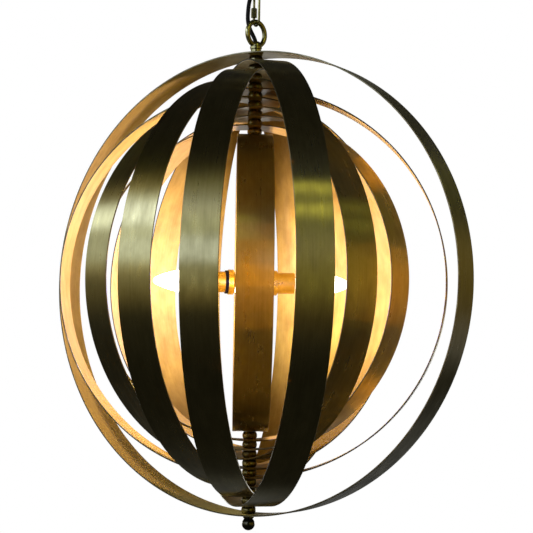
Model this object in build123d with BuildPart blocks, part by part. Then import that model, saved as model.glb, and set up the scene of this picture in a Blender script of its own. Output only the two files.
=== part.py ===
"""Pendant light: nested strap hoops that turn on one upright spindle round four candle lamps.

The light hangs from a ceiling canopy by two cast loops and a threaded link. Millimetres, +Z up,
origin on the ceiling at the middle of the canopy's crossbar, with the photographed side facing -Y.
"""

import math
import os

from build123d import *

# Hoops: flat straps rolled into rings, smallest first
hoop_diameter = 660.0
hoop_step = 13.1
strap_width = 50.0
strap_thickness = 2.0
hoop_turns = [89.1, 168.5, 32.9, 55.4, 141.7, 8.7, 121.1, 102.65, 75.8, 31.0]

# Spindle and the barrel spacers that keep the hoops apart
spindle_diameter = 9.6
lead_bore = 6.4
spindle_clearance = 0.4
spacer_diameter = 21.0
spacer_end_diameter = 17.0
seat_gap = 0.3

# Cast loop, used at the light and, turned over, at the canopy
loop_wire = 7.0
loop_width = 40.4
loop_height = 42.3
loop_turn = 42.6
eye_sink = 9.5
neck_diameter = 15.0
neck_height = 7.0
rim_diameter = 17.2
rim_height = 3.2
rim_taper = 1.0
rim_chamfer = 0.8
dome_top = 18.5
dome_lip_diameter = 9.8
cord_bore = 7.8
cord_bore_flare = 0.8
socket_depth = 12.0
thread_reach = 10.5

# Threaded link between the two loops
link_wire = 3.5
link_inner_length = 44.0
link_inner_width = 12.0
link_turn = -62.0
link_slit = 7.4
link_slit_height = 15.0
nut_length = 14.7
nut_flats = 7.4
nut_clearance = 0.2
nut_chamfer = 0.8
nut_height = 12.6

# Ceiling canopy and its crossbar
canopy_diameter = 120.0
canopy_height = 27.0
canopy_wall = 1.2
canopy_rim = 3.0
canopy_floor_diameter = 28.0
ring_diameter = 26.0
ring_height = 6.0
ring_bulge = 1.5
bar_length = 104.0
bar_width = 22.0
bar_thickness = 2.5
slot_spacing = 76.0
slot_length = 14.0
slot_width = 4.6
lock_nut_flats = 15.0
lock_nut_height = 5.0

# Lamp cluster
lamp_count = 4
lamp_turn = 7.5
hub_diameter = 44.0
hub_height = 30.0
hub_wall = 2.0
hub_fillet = 4.0
cover_height = 4.0
cover_flat_diameter = 20.0
spindle_grip = 2.0
nipple_inset = 3.0
nipple_grip = 2.0
cup_diameter = 35.7
cup_start = 26.0
cup_depth = 9.0
cup_wall = 1.2
cup_bevel = 2.0
cup_inner_bevel = 1.0
sleeve_diameter = 29.8
sleeve_wall = 1.0
sleeve_end = 60.0
sleeve_inset = 1.0
holder_diameter = 25.0
holder_length = 24.0
cap_diameter = 13.8
cap_length = 22.0
cap_clearance = 0.4
bulb_diameter = 33.0
bulb_neck_diameter = 17.0
bulb_widest = 28.0
bulb_length = 82.5
bulb_neck_length = 6.0
bulb_shoulder_diameter = 14.0
bulb_tip_radius = 6.0
bulb_tip_angle = 48.0

# Ball finial under the largest hoop
finial_neck_diameter = 16.0
finial_neck_height = 5.0
finial_shoulder_height = 3.0
ball_neck_diameter = 12.0
ball_diameter = 18.5

# Supply cord
cord_diameter = 6.0
cord_joint_run = Vector(0.6, 0, 8.0)

hoop_count = len(hoop_turns)
wire_contact = seat_gap + loop_wire / 2 + link_wire / 2
loop_reach = dome_top + loop_height - eye_sink

# Heights of the hanging chain, from the ceiling down to the centre of the hoops
canopy_loop_seat = -canopy_height - ring_height
link_top = canopy_loop_seat - loop_reach + loop_wire / 2 + wire_contact
link_bottom = link_top - link_inner_length - link_wire
lamp_loop_top = link_bottom + wire_contact + loop_wire / 2
lamp_loop_seat = lamp_loop_top - loop_reach
centre_height = lamp_loop_seat - seat_gap - hoop_diameter / 2
centre = Vector(0, 0, centre_height)

os.makedirs("parts", exist_ok=True)


def hoop_radius(number):
    """Outside radius of a hoop, numbered from 1 for the smallest."""
    return hoop_diameter / 2 - (hoop_count - number) * hoop_step


def save(builder, name):
    builder.part.label = name
    export_step(builder.part, f"parts/{name}.step")


def upright(height):
    """A plane for profiles turned about the light's axis: local X is the radius, local Y is up."""
    return Plane(origin=(0, 0, height), x_dir=(1, 0, 0), z_dir=(0, -1, 0))


def hanging(height):
    """As upright, but with local Y pointing down, for pieces that are mounted upside down."""
    return Plane(origin=(0, 0, height), x_dir=(1, 0, 0), z_dir=(0, 1, 0))


def make_hoop(number):
    turn = math.radians(hoop_turns[number - 1])
    along = (math.cos(turn), -math.sin(turn), 0)
    across = (math.sin(turn), math.cos(turn), 0)
    radius = hoop_radius(number)
    with BuildPart() as hoop:
        with BuildSketch(Plane(origin=centre, x_dir=along, z_dir=across)):
            Circle(radius)
            Circle(radius - strap_thickness, mode=Mode.SUBTRACT)
        extrude(amount=strap_width / 2, both=True)
        with BuildSketch(Plane.XY.offset(centre_height)):
            Circle(spindle_diameter / 2 + spindle_clearance)
        extrude(amount=radius + strap_thickness, both=True, mode=Mode.SUBTRACT)
    save(hoop, f"hoop_{number:02d}")


def make_spacer(number, name, plane):
    """Barrel between a hoop and the next larger one, clear of the larger one's hollow inside."""
    bore = spindle_diameter / 2 + spindle_clearance / 2
    end = spacer_end_diameter / 2
    inside = hoop_radius(number + 1) - strap_thickness
    low = hoop_radius(number) + seat_gap
    high = math.sqrt(inside**2 - end**2) - seat_gap
    with BuildPart() as spacer:
        with BuildSketch(plane):
            with BuildLine():
                Line((bore, low), (end, low))
                ThreePointArc((end, low), (spacer_diameter / 2, (low + high) / 2), (end, high))
                Polyline((end, high), (bore, high), (bore, low))
            make_face()
        revolve(axis=Axis.Z)
    save(spacer, f"{name}_{number}")


def make_loop(name, plane):
    """Round eye on a domed boss. The boss is bored for the thread below and for the cord above."""
    half_width = (loop_width - loop_wire) / 2
    half_height = (loop_height - loop_wire) / 2
    eye_height = loop_reach - loop_wire / 2 - half_height
    eye_floor = eye_height - half_height + loop_wire / 2
    rim_top = neck_height + rim_taper + rim_height
    eye_plane = Plane(
        origin=plane.origin + plane.y_dir * eye_height,
        x_dir=plane.x_dir.rotate(Axis.Z, loop_turn),
        z_dir=plane.z_dir.rotate(Axis.Z, loop_turn),
    )
    with BuildPart() as loop:
        with BuildLine(eye_plane) as eye:
            EllipticalCenterArc((0, 0), half_width, half_height, arc_size=180)
            EllipticalCenterArc((0, 0), half_width, half_height, start_angle=180, arc_size=180)
        with BuildSketch(Plane(origin=eye.wires()[0] @ 0, z_dir=eye.wires()[0] % 0)):
            Circle(loop_wire / 2)
        sweep(path=eye.wires()[0])
        with BuildSketch(plane):
            with BuildLine():
                Polyline(
                    (0, 0),
                    (neck_diameter / 2, 0),
                    (neck_diameter / 2, neck_height),
                    (rim_diameter / 2, neck_height + rim_taper),
                    (rim_diameter / 2, rim_top),
                    (rim_diameter / 2 - rim_chamfer, rim_top + rim_chamfer),
                )
                TangentArc(
                    (rim_diameter / 2 - rim_chamfer, rim_top + rim_chamfer),
                    (dome_lip_diameter / 2, dome_top),
                    tangent=(0, 1),
                )
                Polyline((dome_lip_diameter / 2, dome_top), (0, dome_top), (0, 0))
            make_face()
        revolve(axis=Axis.Z)
        with BuildSketch(plane):
            with BuildLine():
                Polyline(
                    (0, 0),
                    (spindle_diameter / 2 + spindle_clearance / 2, 0),
                    (spindle_diameter / 2 + spindle_clearance / 2, socket_depth),
                    (cord_bore / 2, socket_depth),
                    (cord_bore / 2, dome_top - cord_bore_flare),
                    (cord_bore / 2 + cord_bore_flare, dome_top),
                    (cord_bore / 2 + cord_bore_flare, eye_floor + loop_wire),
                    (0, eye_floor + loop_wire),
                    close=True,
                )
            make_face()
        revolve(axis=Axis.Z, mode=Mode.SUBTRACT)
    save(loop, name)


def make_tube(name, low, high, bore):
    with BuildPart() as tube:
        with BuildSketch(Plane.XY.offset(low)):
            Circle(spindle_diameter / 2)
            if bore:
                Circle(bore / 2, mode=Mode.SUBTRACT)
        extrude(amount=high - low)
    save(tube, name)


# Canopy: a spun dish, open towards the ceiling
canopy_radius = canopy_diameter / 2
floor_radius = canopy_floor_diameter / 2
stem_hole = spindle_diameter / 2 + spindle_clearance
with BuildPart() as canopy:
    with BuildSketch(upright(0)):
        with BuildLine():
            Line((canopy_radius, 0), (canopy_radius, -canopy_rim))
            TangentArc((floor_radius, -canopy_height), (canopy_radius, -canopy_rim), tangent=(1, 0))
            Polyline(
                (floor_radius, -canopy_height),
                (stem_hole, -canopy_height),
                (stem_hole, -canopy_height + canopy_wall),
                (floor_radius, -canopy_height + canopy_wall),
            )
            TangentArc(
                (floor_radius, -canopy_height + canopy_wall),
                (canopy_radius - canopy_wall, -canopy_rim),
                tangent=(1, 0),
            )
            Polyline(
                (canopy_radius - canopy_wall, -canopy_rim),
                (canopy_radius - canopy_wall, 0),
                (canopy_radius, 0),
            )
        make_face()
    revolve(axis=Axis.Z)
save(canopy, "canopy")

# Crossbar under the ceiling, slotted for the ceiling box's screws
with BuildPart() as crossbar:
    with BuildSketch(Plane.XY.offset(-bar_thickness)):
        SlotOverall(bar_length, bar_width)
        Circle(stem_hole, mode=Mode.SUBTRACT)
        with Locations((-slot_spacing / 2, 0), (slot_spacing / 2, 0)):
            SlotOverall(slot_length, slot_width, mode=Mode.SUBTRACT)
    extrude(amount=bar_thickness)
save(crossbar, "crossbar")

# Lock nut that holds the stem up in the crossbar
with BuildPart() as lock_nut:
    with BuildSketch(Plane.XY.offset(-bar_thickness - lock_nut_height)):
        RegularPolygon(lock_nut_flats / 2, 6, major_radius=False)
        Circle(spindle_diameter / 2 + spindle_clearance / 2, mode=Mode.SUBTRACT)
    extrude(amount=lock_nut_height)
save(lock_nut, "lock_nut")

# Ring nut that presses the canopy to the ceiling
with BuildPart() as ring:
    with BuildSketch(upright(-canopy_height - ring_height)):
        with BuildLine():
            Polyline(
                (ring_diameter / 2 - ring_bulge, 0),
                (stem_hole, 0),
                (stem_hole, ring_height),
                (ring_diameter / 2 - ring_bulge, ring_height),
            )
            ThreePointArc(
                (ring_diameter / 2 - ring_bulge, ring_height),
                (ring_diameter / 2, ring_height / 2),
                (ring_diameter / 2 - ring_bulge, 0),
            )
        make_face()
    revolve(axis=Axis.Z)
save(ring, "canopy_ring")

make_tube("canopy_stem", canopy_loop_seat - thread_reach, -seat_gap, lead_bore)
make_loop("canopy_loop", hanging(canopy_loop_seat))
make_loop("lamp_loop", upright(lamp_loop_seat))

# Threaded link: a wire bent round, slit in one leg under its nut
bend_radius = (link_inner_width + link_wire) / 2
leg_top = link_top - bend_radius
leg_bottom = link_bottom + bend_radius
link_angle = math.radians(link_turn)
link_side = Vector(math.cos(link_angle), math.sin(link_angle), 0)
link_plane = Plane(
    origin=(0, 0, link_bottom), x_dir=link_side, z_dir=link_side.cross(Vector(0, 0, 1))
)
leg_length = leg_top - leg_bottom
slit_low = link_slit_height
slit_high = link_slit_height + link_slit
with BuildPart() as link:
    with BuildLine(link_plane) as wire:
        Line((-bend_radius, slit_high), (-bend_radius, bend_radius + leg_length))
        CenterArc((0, bend_radius + leg_length), bend_radius, 180, -180)
        Line((bend_radius, bend_radius + leg_length), (bend_radius, bend_radius))
        CenterArc((0, bend_radius), bend_radius, 0, -180)
        Line((-bend_radius, bend_radius), (-bend_radius, slit_low))
    with BuildSketch(Plane(origin=wire.wires()[0] @ 0, z_dir=wire.wires()[0] % 0)):
        Circle(link_wire / 2)
    sweep(path=wire.wires()[0])
save(link, "quick_link")

# Hexagonal sleeve nut that closes the link's slit
nut_place = link_plane.from_local_coords(Vector(-bend_radius, nut_height, 0))
with BuildPart() as nut:
    with BuildSketch(Plane(origin=nut_place, x_dir=link_side, z_dir=(0, 0, 1))):
        RegularPolygon(nut_flats / 2, 6, major_radius=False)
        Circle(link_wire / 2 + nut_clearance, mode=Mode.SUBTRACT)
    extrude(amount=nut_length)
    ends = nut.edges().filter_by(GeomType.LINE).filter_by(Axis.Z, reverse=True)
    chamfer(ends, nut_chamfer)
save(nut, "link_nut")

# Hoops and the spacers between them, above and below
for number in range(1, hoop_count + 1):
    make_hoop(number)
for number in range(1, hoop_count):
    make_spacer(number, "upper_spacer", upright(centre_height))
    make_spacer(number, "lower_spacer", hanging(centre_height))

# Hub: an upturned cup that carries the lamps, with a cover below
hub_top = centre_height + hub_height / 2
hub_floor = centre_height - hub_height / 2
hub_radius = hub_diameter / 2
with BuildPart() as hub:
    with BuildSketch(Plane.XY.offset(hub_floor)):
        Circle(hub_radius)
    extrude(amount=hub_height)
    fillet(hub.edges().group_by(Axis.Z)[-1], hub_fillet)
    with BuildSketch(Plane.XY.offset(hub_floor)):
        Circle(hub_radius - hub_wall)
    extrude(amount=hub_height - hub_wall, mode=Mode.SUBTRACT)
    with BuildSketch(Plane.XY.offset(hub_top - hub_wall * 2)):
        Circle(spindle_diameter / 2 + spindle_clearance / 2)
    extrude(amount=hub_wall * 2, mode=Mode.SUBTRACT)
    for place in range(lamp_count):
        side = Vector(1, 0, 0).rotate(Axis.Z, lamp_turn + place * 360 / lamp_count)
        with BuildSketch(Plane(origin=centre, z_dir=side)):
            Circle(spindle_diameter / 2 + spindle_clearance / 2)
        extrude(amount=hub_radius + hub_wall, mode=Mode.SUBTRACT)
save(hub, "hub_body")

with BuildPart() as cover:
    with BuildSketch(hanging(hub_floor)):
        with BuildLine():
            bore = spindle_diameter / 2 + spindle_clearance / 2
            inner = hub_radius - hub_wall - seat_gap
            cover_flat = cover_flat_diameter / 2
            Polyline((bore, -hub_wall), (inner, -hub_wall), (inner, 0), (hub_radius, 0))
            TangentArc((cover_flat, cover_height), (hub_radius, 0), tangent=(1, 0))
            Polyline((cover_flat, cover_height), (bore, cover_height), (bore, -hub_wall))
        make_face()
    revolve(axis=Axis.Z)
save(cover, "hub_cover")

# Upper pipe and lower rod of the spindle
make_tube("upper_spindle", hub_top - 2 * hub_wall - spindle_grip, lamp_loop_seat + thread_reach, lead_bore)
finial_seat = centre_height - hoop_diameter / 2 - seat_gap
make_tube("lower_spindle", finial_seat - thread_reach, hub_floor + hub_wall + spindle_grip, 0)

# Ball finial
ball_radius = ball_diameter / 2
finial_neck = finial_neck_diameter / 2
ball_neck = ball_neck_diameter / 2
ball_drop = finial_neck_height + math.sqrt(ball_radius**2 - ball_neck**2)
with BuildPart() as finial:
    with BuildSketch(hanging(finial_seat)):
        with BuildLine():
            Polyline(
                (0, 0),
                (finial_neck, 0),
                (finial_neck, finial_shoulder_height),
                (ball_neck, finial_neck_height),
            )
            ThreePointArc(
                (ball_neck, finial_neck_height),
                (ball_radius, ball_drop),
                (0, ball_drop + ball_radius),
            )
            Line((0, ball_drop + ball_radius), (0, 0))
        make_face()
    revolve(axis=Axis.Z)
    with BuildSketch(Plane.XY.offset(finial_seat)):
        Circle(spindle_diameter / 2 + spindle_clearance / 2)
    extrude(amount=-socket_depth, mode=Mode.SUBTRACT)
save(finial, "finial")

# Lamps: profiles are drawn with local X along the lamp's axis and local Y as the radius
lamp_sides = [
    Vector(1, 0, 0).rotate(Axis.Z, lamp_turn + place * 360 / lamp_count)
    for place in range(lamp_count)
]
lamp_axes = [Axis(centre, side) for side in lamp_sides]
lamp_planes = [
    Plane(origin=centre, x_dir=side, z_dir=side.cross(Vector(0, 0, 1))) for side in lamp_sides
]
sleeve_start = cup_start + cup_wall + sleeve_inset
holder_start = cup_start + cup_wall + seat_gap
cap_start = sleeve_end - cap_length
nipple_start = hub_radius - hub_wall - nipple_inset
nipple_reach = holder_start + nipple_grip
nipple_hole = spindle_diameter / 2 + spindle_clearance / 2

with BuildPart() as nipples:
    for side in lamp_sides:
        with BuildSketch(Plane(origin=centre + side * nipple_start, z_dir=side)):
            Circle(spindle_diameter / 2)
            Circle(lead_bore / 2, mode=Mode.SUBTRACT)
        extrude(amount=nipple_reach - nipple_start)
save(nipples, "arm_nipples")

with BuildPart() as holders:
    for plane, axis in zip(lamp_planes, lamp_axes):
        with BuildSketch(plane):
            with BuildLine():
                outer = holder_diameter / 2
                bore = cap_diameter / 2 + cap_clearance
                end = holder_start + holder_length
                Polyline(
                    (holder_start, nipple_hole),
                    (holder_start, outer),
                    (end, outer),
                    (end, bore),
                    (cap_start - cap_clearance, bore),
                    (cap_start - cap_clearance, nipple_hole),
                    close=True,
                )
            make_face()
        revolve(axis=axis)
save(holders, "lampholders")

with BuildPart() as caps:
    for side in lamp_sides:
        with BuildSketch(Plane(origin=centre + side * cap_start, z_dir=side)):
            Circle(cap_diameter / 2)
        extrude(amount=cap_length)
save(caps, "bulb_caps")

for place, (plane, axis) in enumerate(zip(lamp_planes, lamp_axes), start=1):
    with BuildPart() as cup:
        with BuildSketch(plane):
            with BuildLine():
                outer = cup_diameter / 2
                inner = outer - cup_wall
                Polyline(
                    (cup_start, nipple_hole),
                    (cup_start, outer - cup_bevel),
                    (cup_start + cup_bevel, outer),
                    (cup_start + cup_depth, outer),
                    (cup_start + cup_depth, inner),
                    (cup_start + cup_wall + cup_inner_bevel, inner),
                    (cup_start + cup_wall, inner - cup_inner_bevel),
                    (cup_start + cup_wall, nipple_hole),
                    close=True,
                )
            make_face()
        revolve(axis=axis)
    save(cup, f"lamp_cup_{place}")

    with BuildPart() as sleeve:
        sleeve_place = centre + axis.direction * sleeve_start
        with BuildSketch(Plane(origin=sleeve_place, z_dir=axis.direction)):
            Circle(sleeve_diameter / 2)
            Circle(sleeve_diameter / 2 - sleeve_wall, mode=Mode.SUBTRACT)
        extrude(amount=sleeve_end - sleeve_start)
    save(sleeve, f"candle_sleeve_{place}")

    with BuildPart() as bulb:
        with BuildSketch(plane):
            with BuildLine():
                neck = bulb_neck_diameter / 2
                widest = bulb_diameter / 2
                tip = sleeve_end + bulb_length
                Polyline((tip, 0), (sleeve_end, 0), (sleeve_end, bulb_shoulder_diameter / 2))
                Line((sleeve_end, bulb_shoulder_diameter / 2), (sleeve_end + bulb_neck_length, neck))
                shoulder = (sleeve_end + bulb_widest, widest)
                TangentArc(shoulder, (sleeve_end + bulb_neck_length, neck), tangent=(-1, 0))
                tip_arc = CenterArc((tip - bulb_tip_radius, 0), bulb_tip_radius, 0, bulb_tip_angle)
                TangentArc(shoulder, tip_arc @ 1, tangent=(1, 0))
            make_face()
        revolve(axis=axis)
    save(bulb, f"bulb_glass_{place}")

# Supply cord: out of each loop's boss, between the eye's left side and the link
cord_joint = Vector(-12.1, 3.0, (link_top + link_bottom) / 2)
lamp_dome = lamp_loop_seat + dome_top
canopy_dome = canopy_loop_seat - dome_top
lower_route = [
    Vector(0, 0, lamp_dome - 5.5),
    Vector(-0.9, 0.4, lamp_dome + 2.0),
    Vector(-5.2, 2.0, lamp_dome + 11.0),
    Vector(-9.3, 3.0, lamp_dome + 19.5),
    Vector(-12.2, 3.2, lamp_dome + 29.0),
    cord_joint - cord_joint_run,
    cord_joint,
]
upper_route = [
    cord_joint,
    cord_joint + cord_joint_run,
    Vector(-9.6, 3.2, canopy_dome - 30.5),
    Vector(-8.0, 3.0, canopy_dome - 21.5),
    Vector(-4.2, 1.8, canopy_dome - 11.0),
    Vector(-0.8, 0.4, canopy_dome - 2.0),
    Vector(0, 0, canopy_dome + 5.5),
]


def make_cord(name, route):
    """Tube along straight runs joined by the largest tangent arcs that the runs allow."""
    runs = [after - before for before, after in zip(route, route[1:])]
    radii = []
    for before, after in zip(runs, runs[1:]):
        half_turn = math.radians(before.get_angle(after)) / 2
        radii.append(0.45 * min(before.length, after.length) / math.tan(half_turn))
    with BuildPart() as cord:
        with BuildLine() as line:
            FilletPolyline(*route, radius=radii)
        path = line.wires()[0]
        with BuildSketch(Plane(origin=path @ 0, z_dir=path % 0)):
            Circle(cord_diameter / 2)
        sweep(path=path)
    section = math.pi * cord_diameter**2 / 4
    print(name, "radii", [round(radius, 1) for radius in radii], "length", round(path.length, 2))
    print(name, "volume over section times length", round(cord.part.volume / section / path.length, 4))
    save(cord, name)


make_cord("cord_lower", lower_route)
make_cord("cord_upper", upper_route)
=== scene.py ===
"""Looks of the pendant light: nested strap hoops round lit candle bulbs, in front of a white backdrop.

Metres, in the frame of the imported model: +Z up, the photographed side facing -Y.
"""

import math

import bmesh
import bpy
from mathutils import Matrix, Vector


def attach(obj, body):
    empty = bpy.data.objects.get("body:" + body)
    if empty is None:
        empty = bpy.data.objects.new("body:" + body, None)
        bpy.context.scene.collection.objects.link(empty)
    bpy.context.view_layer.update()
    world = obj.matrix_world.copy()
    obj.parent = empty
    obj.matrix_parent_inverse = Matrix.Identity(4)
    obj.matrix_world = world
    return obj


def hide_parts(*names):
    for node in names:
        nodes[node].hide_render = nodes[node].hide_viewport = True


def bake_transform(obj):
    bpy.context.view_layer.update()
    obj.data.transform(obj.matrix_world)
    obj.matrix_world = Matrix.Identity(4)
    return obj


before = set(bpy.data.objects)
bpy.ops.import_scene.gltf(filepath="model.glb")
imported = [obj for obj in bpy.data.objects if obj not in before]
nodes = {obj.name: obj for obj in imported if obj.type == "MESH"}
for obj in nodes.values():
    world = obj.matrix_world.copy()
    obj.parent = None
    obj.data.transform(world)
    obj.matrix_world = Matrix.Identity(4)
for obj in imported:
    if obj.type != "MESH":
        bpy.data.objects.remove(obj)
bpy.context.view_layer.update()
MM = 0.001

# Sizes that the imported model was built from
HOOP_RADIUS = 330.0 * MM
HOOP_STEP = 13.1 * MM
STRAP_WIDTH = 50.0 * MM
STRAP_THICKNESS = 2.0 * MM
HOOP_TURNS = [89.1, 168.5, 32.9, 55.4, 141.7, 8.7, 121.1, 102.65, 75.8, 31.0]
SPINDLE_HOLE = 5.2 * MM
CENTRE = Vector((0, 0, -495.3 * MM))
CORD_DIAMETER = 6.0 * MM
LAMP_TURN = math.radians(7.5)
CUP_MOUTH = 35.0 * MM

# Trim that the scene adds, among it a black ring of painted shade in each cup's mouth
STRAP_EASE = 0.35 * MM
SHADE_RING_INNER = 14.95 * MM
SHADE_RING_OUTER = 16.6 * MM
SHADE_RING_DEPTH = 2.5 * MM
SHADE_RING_EASE = 0.5 * MM

# Fineness of the meshes
HOOP_COLUMNS, HOOP_ROWS, HOLE_RINGS, RING_SPACING = 8, 150, 3, 1.4
MERGE_DISTANCE = 1e-6
SHARP_ANGLE = math.radians(25)
CORD_SIDES = 24
SHADE_RING_SIDES = 64


# Node helpers
def add(tree, kind, inputs=None, **settings):
    """A shader node with its settings, and its inputs either linked or set."""
    made = tree.nodes.new(kind)
    for key, value in settings.items():
        setattr(made, key, value)
    for key, value in (inputs or {}).items():
        if isinstance(value, bpy.types.NodeSocket):
            tree.links.new(value, made.inputs[key])
        else:
            made.inputs[key].default_value = value
    return made


def noise(tree, vector, scale, detail=4.0, roughness=0.55):
    inputs = {"Vector": vector, "Scale": scale, "Detail": detail, "Roughness": roughness}
    return add(tree, "ShaderNodeTexNoise", inputs).outputs["Fac"]


def stretch(tree, vector, scale):
    return add(tree, "ShaderNodeMapping", {"Vector": vector, "Scale": scale}).outputs[0]


def spread(tree, value, low, high, to_low=0.0, to_high=1.0):
    """Maps a range of one value on to another, clamped."""
    inputs = {"Value": value, 1: low, 2: high, 3: to_low, 4: to_high}
    return add(tree, "ShaderNodeMapRange", inputs).outputs[0]


def math_node(tree, operation, first, second=0.0):
    return add(tree, "ShaderNodeMath", {0: first, 1: second}, operation=operation).outputs[0]


def vector_node(tree, operation, first, second=None):
    inputs = {0: first} if second is None else {0: first, 1: second}
    return add(tree, "ShaderNodeVectorMath", inputs, operation=operation)


def blend_colour(tree, factor, first, second):
    return add(tree, "ShaderNodeMix", {0: factor, 6: first, 7: second}, data_type="RGBA").outputs[2]


def new_material(name):
    material = bpy.data.materials.new(name)
    material.use_nodes = True
    tree = material.node_tree
    return material, tree, tree.nodes["Principled BSDF"]


def bump(tree, shader, height, distance, strength):
    inputs = {"Height": height, "Distance": distance, "Strength": strength}
    tree.links.new(add(tree, "ShaderNodeBump", inputs).outputs[0], shader.inputs["Normal"])


def rgb(red, green, blue):
    return (red, green, blue, 1.0)


def linked_object(name, data):
    made = bpy.data.objects.new(name, data)
    bpy.context.scene.collection.objects.link(made)
    return made


def mesh_object(name, mesh, *materials):
    """An object made of a bmesh, which is freed."""
    data = bpy.data.meshes.new(name)
    mesh.to_mesh(data)
    mesh.free()
    for material in materials:
        data.materials.append(material)
    return linked_object(name, data)


# Materials
EDGE_WEAR, WORN_FROM, WORN_TO, WORN_WAVER = 0.6, 24.7 * MM, 25.6 * MM, 1.2 * MM
STRAP_BUMP, CAST_BUMP, DULL_BUMP = 0.06 * MM, 0.12 * MM, 0.1 * MM


def strap_metal(name, dark, base, light, roughness, brushing, lacquer):
    """Strip brushed along its length, with cloudy patina. U runs along the strip and V across it, in metres."""
    material, tree, shader = new_material(name)
    uv = add(tree, "ShaderNodeUVMap", uv_map="strip").outputs[0]
    fine = noise(tree, stretch(tree, uv, (14, 2600, 1)), 1.0, 3.0, 0.7)
    coarse = noise(tree, stretch(tree, uv, (5, 420, 1)), 1.0, 3.0, 0.6)
    cloud = noise(tree, stretch(tree, uv, (26, 60, 1)), 1.0, 5.0, 0.6)
    spots = noise(tree, stretch(tree, uv, (120, 190, 1)), 1.0, 3.0, 0.7)
    halves = [math_node(tree, "MULTIPLY", part, 0.5) for part in (fine, coarse)]
    streaks = math_node(tree, "ADD", *halves)
    colour = blend_colour(tree, spread(tree, cloud, 0.34, 0.66), dark, base)
    colour = blend_colour(tree, spread(tree, streaks, 0.42, 0.66, 0.0, 0.38), colour, light)
    colour = blend_colour(tree, spread(tree, spots, 0.62, 0.80, 0.0, 0.14), colour, dark)
    across = add(tree, "ShaderNodeSeparateXYZ", {0: uv}).outputs[1]
    edge = math_node(tree, "ABSOLUTE", across)
    edge = math_node(tree, "ADD", edge, math_node(tree, "MULTIPLY", coarse, WORN_WAVER))
    colour = blend_colour(tree, spread(tree, edge, WORN_FROM, WORN_TO, 0.0, EDGE_WEAR), colour, light)
    tree.links.new(colour, shader.inputs["Base Color"])
    patina = spread(tree, cloud, 0.3, 0.7, roughness + 0.05, roughness - 0.03)
    scratches = spread(tree, streaks, 0.3, 0.7, -0.03, 0.03)
    tree.links.new(math_node(tree, "ADD", patina, scratches), shader.inputs["Roughness"])
    shader.inputs["Metallic"].default_value = 1.0
    shader.inputs["Anisotropic"].default_value = brushing
    shader.inputs["Anisotropic Rotation"].default_value = 0.25
    shader.inputs["Coat Weight"].default_value = lacquer
    shader.inputs["Coat Roughness"].default_value = 0.08
    tangent = add(tree, "ShaderNodeTangent", direction_type="UV_MAP", uv_map="strip").outputs[0]
    tree.links.new(tangent, shader.inputs["Tangent"])
    bump(tree, shader, streaks, STRAP_BUMP, 0.3)
    return material


def cast_metal(name, dark, base, light, roughness, scale=120.0):
    """Cast or turned metal, darker in its clouds and rubbed lighter in places."""
    material, tree, shader = new_material(name)
    place = add(tree, "ShaderNodeTexCoord").outputs["Object"]
    cloud = noise(tree, place, scale, 5.0, 0.6)
    grain = noise(tree, place, scale * 14, 2.0, 0.6)
    colour = blend_colour(tree, spread(tree, cloud, 0.35, 0.62), dark, base)
    rubbed = math_node(tree, "ADD", cloud, math_node(tree, "MULTIPLY", grain, 0.25))
    colour = blend_colour(tree, spread(tree, rubbed, 0.66, 0.86, 0.0, 0.7), colour, light)
    tree.links.new(colour, shader.inputs["Base Color"])
    polish = spread(tree, cloud, 0.3, 0.7, roughness + 0.1, roughness - 0.06)
    tree.links.new(polish, shader.inputs["Roughness"])
    shader.inputs["Metallic"].default_value = 1.0
    bump(tree, shader, grain, CAST_BUMP, 0.35)
    return material


def dull_material(name, dark, light, roughness, scale, specular):
    """Moulded plastic, rubber or paint with a fine mottle."""
    material, tree, shader = new_material(name)
    place = add(tree, "ShaderNodeTexCoord").outputs["Object"]
    mottle = noise(tree, place, scale, 4.0, 0.6)
    colour = blend_colour(tree, spread(tree, mottle, 0.35, 0.65), dark, light)
    tree.links.new(colour, shader.inputs["Base Color"])
    polish = spread(tree, mottle, 0.3, 0.7, roughness - 0.06, roughness + 0.08)
    tree.links.new(polish, shader.inputs["Roughness"])
    shader.inputs["Specular IOR Level"].default_value = specular
    bump(tree, shader, mottle, DULL_BUMP, 0.3)
    return material


def lit_glass(name):
    """Lit candle bulb: white-hot in the middle, warmer at the neck and the tip."""
    material, tree, shader = new_material(name)
    place = add(tree, "ShaderNodeTexCoord").outputs["Object"]
    offset = vector_node(tree, "SUBTRACT", place, CENTRE).outputs[0]
    reach = vector_node(tree, "LENGTH", offset).outputs["Value"]
    past_neck = spread(tree, reach, 0.060, 0.078)
    short_of_tip = spread(tree, reach, 0.143, 0.118)
    heat = math_node(tree, "MULTIPLY", past_neck, short_of_tip)
    ripple = noise(tree, place, 260.0, 3.0)
    heat = math_node(tree, "MULTIPLY", heat, spread(tree, ripple, 0.2, 0.8, 0.92, 1.0))
    glow = blend_colour(tree, heat, rgb(1.0, 0.80, 0.50), rgb(1.0, 0.92, 0.74))
    tree.links.new(glow, shader.inputs["Emission Color"])
    tree.links.new(spread(tree, heat, 0.0, 1.0, 0.9, 10.0), shader.inputs["Emission Strength"])
    shader.inputs["Base Color"].default_value = rgb(0.9, 0.86, 0.78)
    shader.inputs["Roughness"].default_value = 0.12
    return material


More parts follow.
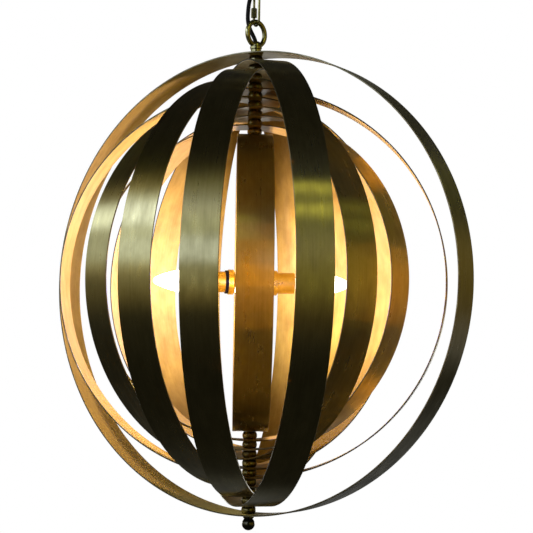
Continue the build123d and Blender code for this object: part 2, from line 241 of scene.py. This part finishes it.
strap_outer = strap_metal(
    "strap_outer",
    rgb(0.25, 0.219, 0.092),
    rgb(0.34, 0.301, 0.131),
    rgb(0.42, 0.380, 0.178),
    roughness=0.29,
    brushing=1.0,
    lacquer=0.05,
)
# The inside of the strip is the same brushed brass with patina as the outside, coloured lighter and warmer: partly the
# metal's own colour, partly painted glow of the bulbs' light
strap_inner_painted_glow = strap_metal(
    "strap_inner_painted_glow",
    rgb(0.37, 0.246, 0.046),
    rgb(0.52, 0.370, 0.080),
    rgb(0.62, 0.458, 0.122),
    roughness=0.46,
    brushing=0.86,
    lacquer=0.06,
)
strap_edge = cast_metal(
    "strap_edge", rgb(0.09, 0.078, 0.040), rgb(0.15, 0.135, 0.075), rgb(0.27, 0.250, 0.155), 0.36, 40.0
)
bronze = cast_metal(
    "aged_bronze", rgb(0.10, 0.090, 0.042), rgb(0.24, 0.220, 0.105), rgb(0.42, 0.395, 0.205), 0.27
)
dark_bronze = cast_metal(
    "dark_bronze", rgb(0.040, 0.038, 0.026), rgb(0.095, 0.092, 0.062), rgb(0.20, 0.195, 0.14), 0.24
)
loop_brass = cast_metal(
    "loop_brass", rgb(0.15, 0.138, 0.060), rgb(0.33, 0.310, 0.140), rgb(0.54, 0.510, 0.290), 0.26
)
link_plate = cast_metal(
    "link_plate", rgb(0.14, 0.128, 0.055), rgb(0.31, 0.295, 0.130), rgb(0.48, 0.460, 0.250), 0.26
)
canopy_metal = cast_metal(
    "canopy_metal", rgb(0.12, 0.106, 0.052), rgb(0.26, 0.235, 0.120), rgb(0.38, 0.350, 0.195), 0.33, 40.0
)
zinc = cast_metal("zinc_plate", rgb(0.30, 0.29, 0.26), rgb(0.55, 0.54, 0.50), rgb(0.70, 0.69, 0.64), 0.32)
lamp_gold = cast_metal(
    "lamp_gold", rgb(0.52, 0.345, 0.050), rgb(0.68, 0.46, 0.075), rgb(0.80, 0.58, 0.140), 0.30, 50.0
)
cap_metal = cast_metal("cap_metal", rgb(0.50, 0.48, 0.44), rgb(0.72, 0.70, 0.65), rgb(0.85, 0.83, 0.78), 0.28)
holder = dull_material(
    "holder_plastic", rgb(0.012, 0.012, 0.012), rgb(0.035, 0.034, 0.032), 0.45, 300.0, specular=0.5
)
cord_sheath = dull_material(
    "cord_sheath", rgb(0.002, 0.002, 0.0025), rgb(0.007, 0.007, 0.008), 0.62, 500.0, specular=0.12
)
floor_paint = dull_material(
    "floor_paint", rgb(0.82, 0.82, 0.81), rgb(0.835, 0.835, 0.825), 0.6, 3.0, specular=0.0
)
bulb_glow = lit_glass("bulb_glow")

NODE_MATERIALS = {
    "lamp_loop": loop_brass,
    "canopy_loop": loop_brass,
    "quick_link": link_plate,
    "link_nut": link_plate,
    "canopy": canopy_metal,
    "canopy_ring": bronze,
    "finial": dark_bronze,
    "hub_body": lamp_gold,
    "hub_cover": lamp_gold,
    "lampholders": holder,
    "bulb_caps": cap_metal,
}
PREFIX_MATERIALS = {
    "upper_spacer": bronze,
    "lower_spacer": bronze,
    "lamp_cup": lamp_gold,
    "candle_sleeve": lamp_gold,
    "bulb_glass": bulb_glow,
}
for name, item in nodes.items():
    chosen = NODE_MATERIALS.get(name)
    if chosen is None:
        chosen = next((m for prefix, m in PREFIX_MATERIALS.items() if name.startswith(prefix)), zinc)
    item.data.materials.clear()
    item.data.materials.append(chosen)


# Hoops: flat strip rolled into a ring, bored at its poles, with eased edges
OUTER, INNER, EDGE = 0, 1, 2
GRAIN_SHIFT = 1.713


def strap_hoop(number):
    radius = HOOP_RADIUS - (len(HOOP_TURNS) - number) * HOOP_STEP
    turn = math.radians(HOOP_TURNS[number - 1])
    along = Vector((math.cos(turn), -math.sin(turn), 0))
    across = Vector((math.sin(turn), math.cos(turn), 0))
    half = STRAP_WIDTH / 2 - STRAP_EASE
    patch = half / radius
    inside = radius - STRAP_THICKNESS
    grain_start = number * GRAIN_SHIFT
    mesh = bmesh.new()
    layer = mesh.loops.layers.uv.new("strip")

    def place(angle, width, level):
        upright = Vector((0, 0, math.cos(angle) * level))
        return CENTRE + along * (math.sin(angle) * level) + upright + across * width

    def face(corners, slot):
        """Corners are (angle, width, level), counted round the face seen from outside the metal."""
        made = mesh.faces.new([mesh.verts.new(place(*corner)) for corner in corners])
        made.material_index = slot
        made.smooth = True
        for loop, (angle, width, level) in zip(made.loops, corners):
            loop[layer].uv = (angle * radius + grain_start, width)

    def sheet(corners):
        face([(a, w, radius) for a, w in corners], OUTER)
        face([(a, w, inside) for a, w in reversed(corners)], INNER)

    def drawn_in(s, w, share):
        """A point of the square patch at a pole, drawn towards the hole in its middle."""
        size = math.hypot(s, w)
        return s + (s / size * SPINDLE_HOLE - s) * share, w + (w / size * SPINDLE_HOLE - w) * share

    widths = [-half + 2 * half * j / HOOP_COLUMNS for j in range(HOOP_COLUMNS + 1)]
    stations = []
    for pole in (0.0, math.pi):
        start, end = pole + patch, pole + math.pi - patch
        side = [start + (end - start) * i / HOOP_ROWS for i in range(HOOP_ROWS + 1)]
        stations += side
        for first, second in zip(side, side[1:]):
            for low, high in zip(widths, widths[1:]):
                sheet([(first, low), (first, high), (second, high), (second, low)])
        far_pole = pole + math.pi
        stations += [far_pole + w / radius for w in widths[1:-1]]
        outline = [(w, -half) for w in widths[:-1]] + [(half, w) for w in widths[:-1]]
        outline += [(-w, half) for w in widths[:-1]] + [(-half, -w) for w in widths[:-1]]
        loops = []
        for ring in range(HOLE_RINGS + 1):
            share = (ring / HOLE_RINGS) ** RING_SPACING
            row = [drawn_in(s, w, share) for s, w in outline]
            loops.append([(far_pole + s / radius, w) for s, w in row])
        count = len(outline)
        for outer, inner in zip(loops, loops[1:]):
            for k in range(count):
                n = (k + 1) % count
                sheet([outer[n], outer[k], inner[k], inner[n]])
        hole = loops[-1]
        for k in range(count):
            n = (k + 1) % count
            face([(*hole[n], radius), (*hole[k], radius), (*hole[k], inside), (*hole[n], inside)], EDGE)
    stations.append(stations[0] + 2 * math.pi)
    profile = [
        (half, radius),
        (half + STRAP_EASE, radius - STRAP_EASE),
        (half + STRAP_EASE, inside + STRAP_EASE),
        (half, inside),
    ]
    for first, second in zip(stations, stations[1:]):
        for (w0, r0), (w1, r1) in zip(profile, profile[1:]):
            face([(first, w0, r0), (first, w1, r1), (second, w1, r1), (second, w0, r0)], EDGE)
            face([(second, -w0, r0), (second, -w1, r1), (first, -w1, r1), (first, -w0, r0)], EDGE)
    bmesh.ops.remove_doubles(mesh, verts=mesh.verts, dist=MERGE_DISTANCE)
    bmesh.ops.recalc_face_normals(mesh, faces=mesh.faces)
    hoop = mesh_object(f"strap_hoop_{number:02d}", mesh, strap_outer, strap_inner_painted_glow, strap_edge)
    hoop.data.set_sharp_from_angle(angle=SHARP_ANGLE)
    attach(hoop, f"turning_{number:02d}")
    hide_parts(f"hoop_{number:02d}")
    return hoop


hoops = {number: strap_hoop(number) for number in range(1, len(HOOP_TURNS) + 1)}


# Supply cord: the route's points are the control points of one smooth line
LOWER_ROUTE = [
    (0.0, 0.0, -0.1520),
    (-0.0009, 0.0004, -0.1445),
    (-0.0052, 0.0020, -0.1355),
    (-0.0093, 0.0030, -0.1270),
    (-0.0122, 0.0032, -0.1175),
    (-0.0127, 0.0030, -0.1070),
    (-0.0121, 0.0030, -0.0990),
]
UPPER_ROUTE = [
    (0.0, 0.0, -0.0460),
    (-0.0008, 0.0004, -0.0535),
    (-0.0042, 0.0018, -0.0625),
    (-0.0080, 0.0030, -0.0730),
    (-0.0096, 0.0032, -0.0820),
    (-0.0115, 0.0030, -0.0910),
    (-0.0121, 0.0030, -0.0990),
]
# Where each run starts to leave the loop's body and where it follows the link
LOWER_BEND = (-0.002, 0.001, -0.142), (-0.0121, 0.003, -0.103)
UPPER_BEND = (-0.002, 0.001, -0.058), (-0.0121, 0.003, -0.095)


def smooth_line(name, route):
    """Points along the NURBS spline that has the route's points as its control points."""
    data = bpy.data.curves.new(name, "CURVE")
    data.dimensions = "3D"
    data.resolution_u = 12
    spline = data.splines.new("NURBS")
    spline.points.add(len(route) - 1)
    for point, place in zip(spline.points, route):
        point.co = (*place, 1.0)
    spline.order_u = 3
    spline.use_endpoint_u = True
    drawn = linked_object(name, data)
    bpy.context.view_layer.update()
    read = bpy.data.meshes.new_from_object(drawn.evaluated_get(bpy.context.evaluated_depsgraph_get()))
    points = [vertex.co.copy() for vertex in read.vertices]
    bpy.data.meshes.remove(read)
    bpy.data.objects.remove(drawn)
    bpy.data.curves.remove(data)
    return points


def cord_tube(name, route, body_a, body_b, start, end):
    points = smooth_line(name + "_line", route)
    mesh = bmesh.new()
    rows = []
    side = Vector((1, 0, 0))
    for index, point in enumerate(points):
        before, after = points[max(index - 1, 0)], points[min(index + 1, len(points) - 1)]
        ahead = (after - before).normalized()
        side = (side - ahead * side.dot(ahead)).normalized()
        other = ahead.cross(side)
        row = []
        for k in range(CORD_SIDES):
            angle = 2 * math.pi * k / CORD_SIDES
            outward = side * math.cos(angle) + other * math.sin(angle)
            row.append(mesh.verts.new(point + outward * (CORD_DIAMETER / 2)))
        rows.append(row)
    for first, second in zip(rows, rows[1:]):
        for k in range(CORD_SIDES):
            n = (k + 1) % CORD_SIDES
            mesh.faces.new((first[k], first[n], second[n], second[k])).smooth = True
    mesh.faces.new(list(reversed(rows[0])))
    mesh.faces.new(rows[-1])
    bmesh.ops.recalc_face_normals(mesh, faces=mesh.faces)
    tube = mesh_object(name, mesh, cord_sheath)
    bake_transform(tube)
    return tube


lower_cord = cord_tube("supply_cord_lower", LOWER_ROUTE, "pendant", "link", *LOWER_BEND)
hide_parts("cord_lower")
upper_cord = cord_tube("supply_cord_upper", UPPER_ROUTE, "ceiling", "link", *UPPER_BEND)
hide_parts("cord_upper")

# Lamps, counted from the right one by way of the back: how far their black rings of painted shade stand out, and their
# bulbs' shares of light
LEFT_LAMP = 2
SHADE_RING_PROUD = (0.3 * MM, 0.3 * MM, 4.4 * MM, 0.3 * MM)
BULB_SHARES = (1.0, 0.45, 1.0, 1.3)


def lamp_angle(lamp):
    return LAMP_TURN + lamp * math.pi / 2


# Painted shade: a black ring in the mouth of each cup, round the sleeve, standing for the dark gap between cup and
# sleeve; the left one stands out a little
for lamp, proud in enumerate(SHADE_RING_PROUD):
    angle = lamp_angle(lamp)
    outward = Vector((math.cos(angle), math.sin(angle), 0))
    sideways = Vector((-math.sin(angle), math.cos(angle), 0))
    back_end, front_end = CUP_MOUTH - SHADE_RING_DEPTH, CUP_MOUTH + proud
    section = [
        (back_end, SHADE_RING_INNER),
        (back_end, SHADE_RING_OUTER),
        (front_end - SHADE_RING_EASE, SHADE_RING_OUTER),
        (front_end - 0.3 * SHADE_RING_EASE, SHADE_RING_OUTER - 0.3 * SHADE_RING_EASE),
        (front_end, SHADE_RING_OUTER - SHADE_RING_EASE),
        (front_end, SHADE_RING_INNER),
    ]
    shade_ring_mesh = bmesh.new()
    loops = []
    for step in range(SHADE_RING_SIDES):
        spin = 2 * math.pi * step / SHADE_RING_SIDES
        radial = sideways * math.cos(spin) + Vector((0, 0, math.sin(spin)))
        loops.append([shade_ring_mesh.verts.new(CENTRE + outward * reach + radial * level) for reach, level in section])
    for first, second in zip(loops, loops[1:] + loops[:1]):
        for i in range(len(section)):
            j = (i + 1) % len(section)
            shade_ring_mesh.faces.new((first[i], first[j], second[j], second[i]))
    bmesh.ops.recalc_face_normals(shade_ring_mesh, faces=shade_ring_mesh.faces)
    ring = mesh_object(f"cup_shade_ring_{lamp + 1}", shade_ring_mesh, cord_sheath)
    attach(ring, "pendant")


def only_hoops(name, *numbers):
    """Collection of the hoops that a light is kept to."""
    kept = bpy.data.collections.new(name)
    for number in numbers:
        kept.objects.link(hoops[number])
    return kept


# Light from the bulbs, some of it off their middle so that it reaches along the hoops: falloff, power, height, colour
# and the hoops that it is kept to
BULB_REACH = 100.0 * MM
BULB_LIGHT_RADIUS = 14.0 * MM
BULB_GLOWS = [
    ("Quadratic", 0.27, -0.008, (1.0, 0.94, 5.0), None),
    ("Linear", 1.4, -0.062, (1.0, 0.73, 0.16), None),
    ("Linear", 1.4, 0.040, (1.0, 0.73, 0.16), None),
]
LEFT_GLOWS = [
    ("Linear", 1.4, -0.130, (1.0, 0.66, 0.08), None),
    ("Linear", 1.8, 0.112, (1.0, 0.66, 0.08), None),
    ("Quadratic", 0.24, 0.030, (1.0, 1.1, 5.6), only_hoops("near_hoops", 3, 4)),
]
for lamp, share in enumerate(BULB_SHARES):
    angle = lamp_angle(lamp)
    nodes[f"bulb_glass_{lamp + 1}"].visible_shadow = False
    for falloff, power, height, colour, kept in BULB_GLOWS + (LEFT_GLOWS if lamp == LEFT_LAMP else []):
        light = bpy.data.lights.new(f"bulb_light_{lamp + 1}", "POINT")
        light.energy = power * share
        light.color = colour
        light.shadow_soft_size = BULB_LIGHT_RADIUS
        light.use_nodes = True
        fading = add(light.node_tree, "ShaderNodeLightFalloff", {"Strength": 1.0}).outputs[falloff]
        light.node_tree.links.new(fading, light.node_tree.nodes["Emission"].inputs["Strength"])
        source = linked_object(light.name, light)
        source.location = CENTRE + Vector((math.cos(angle) * BULB_REACH, math.sin(angle) * BULB_REACH, height))
        source.visible_camera = False
        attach(source, "pendant")
        source.light_linking.receiver_collection = kept


# Amber light that the hoops throw back on the outer faces of those inside them: name, place and direction from the
# light's centre, width, height and radiance of each panel, and the hoops that it is kept to
def on_heading(degrees, reach, height):
    turn = math.radians(degrees)
    return Vector((math.sin(turn) * reach, -math.cos(turn) * reach, height))


AMBER = (1.0, 0.36, 0.01)
FRONT_PANELS = [(0.08, 0.05, 1.6), (0.08, 0.10, 1.0), (0.08, 0.17, 0.8), (0.08, 0.28, 0.42)]
RIGHT_PANELS = [(0.08, 0.05, 1.44), (0.08, 0.10, 1.1), (0.08, 0.16, 0.85)]
SIDE_PANELS = [(0.08, 0.10, 0.5), (0.08, 0.16, 0.25)]
END_PANELS = [(0.07, 0.055, 2.2)]
side_hoop = only_hoops("side_hoop", 3)
BOUNCES = [
    ("front", on_heading(2, 0.285, 0.002), on_heading(2, 1, 0), FRONT_PANELS, None),
    ("right", on_heading(58, 0.305, -0.006), on_heading(58, 1, 0), RIGHT_PANELS, None),
    ("side", on_heading(74, 0.300, -0.012), on_heading(74, 1, 0), SIDE_PANELS, None),
    ("side_high", Vector((0.202, -0.038, 0.186)), Vector((0.48, 0.73, 0.48)), END_PANELS, side_hoop),
    ("side_low", Vector((0.204, -0.036, -0.188)), Vector((0.50, 0.72, -0.48)), END_PANELS, side_hoop),
]
for name, place, outward, panels, kept in BOUNCES:
    for width, height, radiance in panels:
        panel = bpy.data.lights.new(f"bounce_{name}", "AREA")
        panel.shape = "RECTANGLE"
        panel.size, panel.size_y = width, height
        panel.energy = radiance * math.pi * width * height
        panel.color = AMBER
        thrown = linked_object(panel.name, panel)
        thrown.location = CENTRE + place
        thrown.rotation_euler = outward.to_track_quat("Z", "Y").to_euler()
        thrown.visible_camera = False
        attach(thrown, "pendant")
        thrown.light_linking.receiver_collection = kept


# Reflection cards round the light, seen only in reflections: a bright one on the left, a narrow one in front on the
# right, amber ones on the right, bands behind and low down, and a dim glow elsewhere
def card_material():
    material, tree, shader = new_material("reflection_card")
    place = add(tree, "ShaderNodeNewGeometry").outputs["Position"]
    offset = vector_node(tree, "SUBTRACT", place, CENTRE).outputs[0]
    toward = vector_node(tree, "NORMALIZE", offset).outputs[0]
    level = vector_node(tree, "MULTIPLY", toward, (1, 1, 0)).outputs[0]
    level = vector_node(tree, "NORMALIZE", level).outputs[0]
    x, y, z = add(tree, "ShaderNodeSeparateXYZ", {0: toward}).outputs[:3]

    def soft(value, low, high):
        inputs = {"Value": value, 1: low, 2: high, 3: 0.0, 4: 1.0}
        return add(tree, "ShaderNodeMapRange", inputs, interpolation_type="SMOOTHSTEP").outputs[0]

    def times(first, *others):
        for other in others:
            first = math_node(tree, "MULTIPLY", first, other)
        return first

    def plus(first, *others):
        for other in others:
            first = math_node(tree, "ADD", first, other)
        return first

    def facing(degrees):
        """Cosine of the turn away from a heading: 0 is towards the viewer, 90 to the right."""
        return vector_node(tree, "DOT_PRODUCT", level, on_heading(degrees, 1, 0)).outputs["Value"]

    def glow(strength, colour):
        return add(tree, "ShaderNodeVectorMath", {0: colour, "Scale": strength}, operation="SCALE").outputs[0]

    # Left: a bright core and, round it, a plateau that falls off downwards, with a longer tail towards the viewer
    behind = math_node(tree, "MAXIMUM", y, 0.0)
    before = soft(facing(-20), 0.80, 0.95)
    rise = plus(z, times(behind, 0.34))
    core_rise = plus(z, times(behind, 0.25))
    core_side = times(soft(facing(-80), 0.55, 0.95), soft(facing(-90), 0.74, 0.88))
    core = times(core_side, soft(core_rise, 0.575, 0.50), soft(core_rise, 0.37, 0.44), 3.0)
    tail = plus(times(before, 0.26), 0.14)
    foot = blend_colour(tree, before, soft(z, -0.02, 0.22), soft(z, 0.08, 0.17))
    fall = plus(times(foot, math_node(tree, "SUBTRACT", 1.0, tail)), times(soft(z, -0.32, 0.02), tail))
    tilt = plus(
        times(soft(z, 0.36, 0.26), 0.95),
        times(soft(z, 0.26, 0.40), 0.02),
        times(soft(z, 0.42, 0.58), -0.85),
    )
    fall = times(fall, plus(times(before, tilt), 1.0))
    plateau_side = times(soft(facing(-60), 0.42, 0.92), soft(facing(-90), 0.28, 0.46))
    plateau = times(plateau_side, soft(rise, 0.75, 0.50), fall, 1.7)
    left_card = plus(core, plateau)

    # Its tint: amber where it is dim, white where it is brighter, bluish where it is brightest but not high in front
    white_share = spread(tree, left_card, 0.55, 1.45)
    left_tint = blend_colour(tree, white_share, rgb(1.0, 0.80, 0.40), rgb(1.0, 1.08, 0.95))
    bright_tint = blend_colour(tree, soft(y, 0.05, 0.30), rgb(0.95, 1.10, 1.65), rgb(1.0, 1.10, 1.10))
    not_in_front = plus(times(before, soft(z, 0.30, 0.42), -1.0), 1.0)
    bright_share = times(spread(tree, left_card, 1.1, 2.2), not_in_front)
    left_tint = blend_colour(tree, bright_share, left_tint, bright_tint)

    # Front: two bright stripes over a dim ground
    front = soft(facing(32), 0.972, 0.992)
    front_card = plus(
        times(front, soft(z, 0.716, 0.694), soft(z, 0.600, 0.690), 3.6),
        times(front, soft(z, 0.572, 0.550), soft(z, 0.440, 0.540), 3.2),
        times(front, soft(z, 0.72, 0.68), soft(z, -0.34, 0.08), 0.58),
    )
    right_card = times(soft(facing(68), 0.80, 0.98), soft(z, 0.46, 0.16), soft(z, -0.52, 0.0), 0.46)
    side_card = times(soft(facing(122), 0.80, 0.98), soft(z, 0.34, 0.24), soft(z, -0.08, 0.22), 0.16)

    # Behind: a white band just under the middle, dimmer above it
    back_card = plus(
        times(soft(z, -0.22, -0.12), soft(z, 0.06, -0.06)),
        times(soft(z, -0.20, -0.13), soft(z, -0.02, -0.08), 2.6),
        times(soft(z, -0.06, 0.06), soft(z, 0.44, 0.34), plus(times(soft(z, 0.22, 0.31), 0.32), 0.12)),
    )
    back_card = times(back_card, soft(y, 0.70, 0.84))

    # Low down behind: a faint one on the left and a brighter one on the right
    low_left = times(soft(y, 0.4, 0.7), soft(x, 0.20, 0.08), soft(z, -0.36, -0.48), soft(z, -0.92, -0.72))
    low_side = times(soft(y, 0.6, 0.8), soft(x, 0.04, 0.16), soft(x, 0.72, 0.40))
    low_right = times(low_side, soft(z, -0.20, -0.30), soft(z, -0.52, -0.42))
    low_card = plus(times(low_left, 0.07), times(low_right, 0.48))
    elsewhere = plus(times(soft(z, 0.3, -0.2), soft(z, -0.66, -0.36), 0.02), 0.024)
    total, *others = [
        glow(left_card, left_tint),
        glow(front_card, (1.0, 0.98, 0.20)),
        glow(right_card, (1.0, 0.66, 0.08)),
        glow(side_card, (1.0, 0.82, 0.40)),
        glow(back_card, (1.0, 1.0, 1.0)),
        glow(low_card, (1.0, 1.05, 1.15)),
        glow(elsewhere, (1.0, 0.95, 0.85)),
    ]
    for part in others:
        total = vector_node(tree, "ADD", total, part).outputs[0]
    tree.links.new(total, shader.inputs["Emission Color"])
    shader.inputs["Emission Strength"].default_value = 1.0
    shader.inputs["Base Color"].default_value = rgb(0.0, 0.0, 0.0)
    shader.inputs["Specular IOR Level"].default_value = 0.0
    return material


CARD_DISTANCE = 9.0
card_mesh = bmesh.new()
bmesh.ops.create_uvsphere(card_mesh, u_segments=64, v_segments=32, radius=CARD_DISTANCE)
bmesh.ops.translate(card_mesh, verts=card_mesh.verts, vec=CENTRE)
bmesh.ops.reverse_faces(card_mesh, faces=card_mesh.faces)
cards = mesh_object("reflection_cards", card_mesh, card_material())
cards.visible_camera = False
cards.visible_diffuse = False
cards.visible_shadow = False
cards.visible_transmission = False

# Floor far below, pale and plain
FLOOR_LEVEL, FLOOR_REACH = -4.5, 24.0
floor_mesh = bmesh.new()
bmesh.ops.create_grid(floor_mesh, x_segments=8, y_segments=8, size=FLOOR_REACH)
floor = mesh_object("floor", floor_mesh, floor_paint)
floor.location = (0, 0, FLOOR_LEVEL)
floor.visible_glossy = False

# World: white to the camera and in reflections, softer on what it lights
FILL_STRENGTH = 0.8
world = bpy.data.worlds.new("studio")
bpy.context.scene.world = world
world.use_nodes = True
tree = world.node_tree
tree.nodes.clear()
path = add(tree, "ShaderNodeLightPath")
seen = math_node(tree, "MAXIMUM", path.outputs["Is Camera Ray"], path.outputs["Is Glossy Ray"])
seen = math_node(tree, "MAXIMUM", seen, path.outputs["Is Transmission Ray"])
strength = spread(tree, seen, 0.0, 1.0, FILL_STRENGTH, 1.0)
background = add(tree, "ShaderNodeBackground", {"Color": rgb(1, 1, 1), "Strength": strength})
add(tree, "ShaderNodeOutputWorld", {"Surface": background.outputs[0]})

# Camera at the photograph's viewpoint
CAMERA_PLACE = Vector((0, -2.1157, -0.6086))
YAW, PITCH, ROLL = math.radians(0.545), math.radians(3.697), math.radians(0.887)
PHOTO_PIXELS, FOCAL_PIXELS = 533, 1479.2
SENSOR_WIDTH = 36.0
ahead = Vector((math.cos(PITCH) * math.sin(YAW), math.cos(PITCH) * math.cos(YAW), math.sin(PITCH)))
level_right = Vector((math.cos(YAW), -math.sin(YAW), 0))
level_up = level_right.cross(ahead)
right = level_right * math.cos(ROLL) + level_up * math.sin(ROLL)
up = level_up * math.cos(ROLL) - level_right * math.sin(ROLL)
camera_data = bpy.data.cameras.new("camera")
camera_data.sensor_width = SENSOR_WIDTH
camera_data.lens = SENSOR_WIDTH * FOCAL_PIXELS / PHOTO_PIXELS
camera_data.clip_end = 60.0
camera = linked_object("camera", camera_data)
camera.matrix_world = Matrix.Translation(CAMERA_PLACE) @ Matrix((right, up, -ahead)).transposed().to_4x4()
bpy.context.scene.camera = camera

bpy.context.scene.view_settings.view_transform = "Standard"
bpy.context.view_layer.update()
